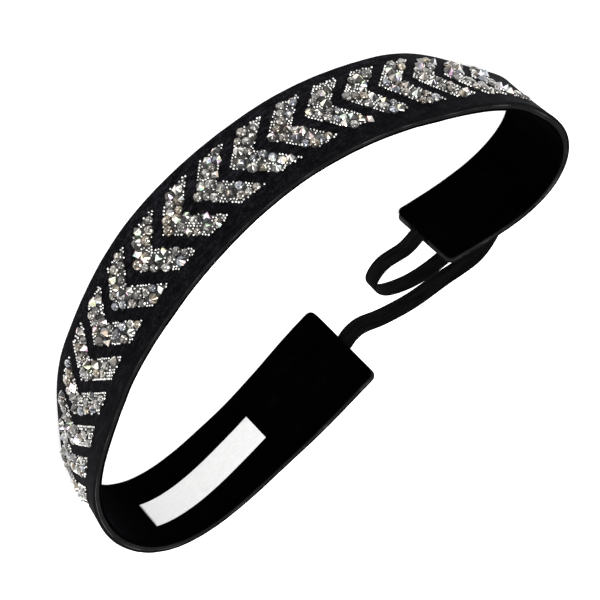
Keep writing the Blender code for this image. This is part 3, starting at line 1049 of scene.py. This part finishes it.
def make_free_elastic(material):
    """The free elastic from end to end of the band, along the path of the CAD's three lengths of it."""
    run, coords = free_elastic_line()
    d = np.linspace(0, run[-1], round(run[-1] / ELASTIC_STEP) + 1)
    middle, across, through = free_elastic_frames(run, coords, d)
    section_across, section_through = rib_section()
    points = (middle[:, None] + across[:, None] * section_across[None, :, None]
              + through[:, None] * section_through[None, :, None])
    places = np.broadcast_arrays(d[:, None], section_across, section_through)
    parts = Parts()
    parts.add(points, np.stack(places, axis=-1) / MM, ring_faces(len(d), len(section_across)))
    obj = parts.build("free_elastic", [material], sharp=70)
    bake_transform(obj)
    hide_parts("elastic_run", "elastic_back_loop", "elastic_front_loop")


def make_tab(side, material):
    """The end of the elastic that is sewn in between the face and the lining."""
    places = half_places(side, END - TAB_LENGTH, END - EXIT_DEPTH)
    across, through = rib_section()
    s = np.repeat(places[:, None], len(across), axis=1)
    w = TAB_W[side] + across + 0 * s
    parts = Parts()
    add_rings(parts, s, w, through + 0 * s, strip_w=w - TAB_W[side])
    obj = parts.build("sewn_tab_" + side, [material], sharp=70)
    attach(obj, side + "_side")
    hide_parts("elastic_tab_" + side)


# ---- label and thread

LABEL_STATIONS = 91
LABEL_OUTER = -HALF_THICKNESS + 0.02 * MM
LABEL_EDGE = 0.08 * MM
LABEL_FOLD_LENGTH = 3.5 * MM
LABEL_FOLD_RISE = 0.12 * MM
LABEL_CROWN_REACH = 1.2 * MM
LABEL_CROWN_RISE = 0.05 * MM
LABEL_RIPPLE_RISE = 0.1 * MM
LABEL_RIPPLE_SIZE = 7 * MM
LABEL_RIPPLE_SEED = 31.0


def make_label(material):
    """The blank satin label on the lining, a little domed, with its two ends folded under."""
    parts = Parts()
    places = np.linspace(LABEL_FROM, LABEL_TO, LABEL_STATIONS)
    half = LABEL_WIDTH / 2
    section_w, section_depth = rounded_section(-half, half, LABEL_OUTER - LABEL_THICKNESS, LABEL_OUTER,
                                               LABEL_EDGE, rows=16, steps=2)
    s = np.repeat(places[:, None], len(section_w), axis=1)
    across = section_w + 0 * s
    w = across + np.interp(s, (LABEL_FROM, LABEL_TO), LABEL_MIDDLE_W)
    depth = section_depth + 0 * s
    from_end = np.minimum(s - LABEL_FROM, LABEL_TO - s)
    fold = smooth(np.clip(1 - from_end / LABEL_FOLD_LENGTH, 0, 1)) * LABEL_FOLD_RISE
    crown = smooth(np.clip((half - np.abs(across)) / LABEL_CROWN_REACH, 0, 1))
    rippled = LABEL_RIPPLE_RISE * ripple(s, w, LABEL_RIPPLE_SEED, LABEL_RIPPLE_SIZE)
    lift = (fold + rippled) * crown + LABEL_CROWN_RISE * crown
    shown = section_depth < LABEL_OUTER - LABEL_THICKNESS / 2
    depth = depth - np.where(shown, np.abs(lift), 0)
    add_rings(parts, s, w, depth)
    obj = parts.build("blank_label", [material], sharp=50)
    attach(obj, "right_side")
    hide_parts("care_label")


THREAD_RADIUS = 0.2 * MM
THREAD_SIDES = 9
THREAD_TWIST = 5.0
THREAD_PLY = 0.14
STITCH_LENGTH = 2.3 * MM
STITCH_GAP = 0.35 * MM
STITCH_OVERRUN = 0.4 * MM
STITCH_RINGS = 15
STITCH_RISE = 0.28 * MM
STITCH_SINK = 0.14 * MM


def add_stitch(parts, s, w_from, w_to):
    """One stitch: a twisted thread that comes out of the face, lies along it and goes back in."""
    share = np.linspace(0, 1, STITCH_RINGS)
    w = w_from + (w_to - w_from) * share
    rise = STITCH_RISE * np.sqrt(np.clip(1 - np.abs(2 * share - 1) ** 4, 0, 1)) - STITCH_SINK
    depth = HALF_THICKNESS + rise
    around = np.arange(THREAD_SIDES) * 2 * math.pi / THREAD_SIDES
    twist = share[:, None] * THREAD_TWIST
    radius = THREAD_RADIUS * (1 + THREAD_PLY * np.cos(2 * (around - twist)))
    taper = np.sqrt(np.clip(1 - np.abs(2 * share - 1) ** 10, 0.15, 1))[:, None]
    ring_s = s + radius * taper * np.cos(around)
    ring_depth = depth[:, None] + radius * taper * np.sin(around)
    ring_w = w[:, None] + 0 * ring_s
    add_rings(parts, ring_s, ring_w, ring_depth)


def make_end_stitches(side, material):
    """The row of stitches across one end, over the elastic's tab."""
    parts = Parts()
    sign = 1 if side == "right" else -1
    w = CORNER_RADIUS
    while w + STITCH_LENGTH < BAND_WIDTH - CORNER_RADIUS + STITCH_OVERRUN:
        add_stitch(parts, sign * (END - STITCH_INSET), w, w + STITCH_LENGTH)
        w += STITCH_LENGTH + STITCH_GAP
    obj = parts.build("thread_row_" + side, [material], sharp=70)
    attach(obj, side + "_side")
    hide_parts("end_stitch_" + side)


def make_elastic_and_trim():
    elastic = elastic_material()
    thread = thread_material()
    make_free_elastic(elastic)
    make_label(satin_material())
    for side in ("right", "left"):
        make_tab(side, elastic)
        make_end_stitches(side, thread)


# ---- stage, light and camera

FLOOR_HALF = 4.0
FLOOR_LEVEL = -0.05 * MM
WORLD_STRENGTH = 0.83
LIGHTS = (
    ("key", (-0.3, -0.6, 0.7), 0.5, 9.5),
    ("fill", (0.6, -0.2, 0.5), 0.6, 3),
    ("back", (0.1, 0.6, 0.6), 0.6, 3.5),
)


def floor_material():
    """White paper with a faint grain, and a faint glow that keeps it white round the headband."""
    material, tree, shader = new_material("stage_paper", Specular_IOR_Level=0.1, Roughness=0.9,
                                          Emission_Color=(1, 1, 1, 1), Emission_Strength=0.35)
    place = add_node(tree, "ShaderNodeTexCoord")
    grain = noise_at(tree, place.outputs["Object"], 40.0, 2.0, 0.5)
    set_colour(tree, shader, ramp(tree, grain, ((0.3, grey(0.93)), (0.7, grey(0.95)))))
    return material


def make_stage():
    mesh = bpy.data.meshes.new("stage_floor")
    corners = [(x * FLOOR_HALF, y * FLOOR_HALF, FLOOR_LEVEL) for x, y in ((-1, -1), (1, -1), (1, 1), (-1, 1))]
    mesh.from_pydata(corners, [], [(0, 1, 2, 3)])
    mesh.materials.append(floor_material())
    floor = bpy.data.objects.new("stage_floor", mesh)
    bpy.context.scene.collection.objects.link(floor)


def add_light(name, place, size, power):
    """A soft round light that looks at the headband."""
    light = bpy.data.lights.new(name, "AREA")
    light.shape = "DISK"
    light.size = size
    light.energy = power
    obj = bpy.data.objects.new(name, light)
    obj.location = place
    obj.rotation_mode = "QUATERNION"
    obj.rotation_quaternion = (-Vector(place)).to_track_quat("-Z", "Y")
    bpy.context.scene.collection.objects.link(obj)


def make_light():
    world = bpy.data.worlds.new("studio")
    world.use_nodes = True
    background = world.node_tree.nodes["Background"]
    background.inputs["Color"].default_value = (1, 1, 1, 1)
    background.inputs["Strength"].default_value = WORLD_STRENGTH
    bpy.context.scene.world = world
    for light in LIGHTS:
        add_light(*light)
    bpy.context.scene.view_settings.view_transform = "Standard"


def make_camera():
    """The main view: from above the front, a little to -X, with the camera rolled."""
    azimuth = math.radians(-13.671)
    elevation = math.radians(30.2)
    roll = math.radians(136.348)
    distance = 2.0673
    target = Vector((1.21, -5.31, 12.7)) * MM
    back = Vector((math.sin(azimuth), -math.cos(azimuth), 0)) * math.cos(elevation)
    back.z = math.sin(elevation)
    right = Vector((math.cos(azimuth), math.sin(azimuth), 0))
    up = back.cross(right)
    rolled_right = right * math.cos(roll) + up * math.sin(roll)
    rolled_up = up * math.cos(roll) - right * math.sin(roll)
    data = bpy.data.cameras.new("photo_camera")
    data.sensor_width = 36
    data.lens = 448.1
    data.shift_x = 0.04054
    data.shift_y = -0.01109
    data.clip_start = 0.05
    data.clip_end = 20
    camera = bpy.data.objects.new("photo_camera", data)
    turned = Matrix((rolled_right, rolled_up, back)).transposed().to_4x4()
    camera.matrix_world = Matrix.Translation(target + back * distance) @ turned
    bpy.context.scene.collection.objects.link(camera)
    bpy.context.scene.camera = camera


make_fabric()
make_chevrons()
make_elastic_and_trim()
make_stage()
make_light()
make_camera()
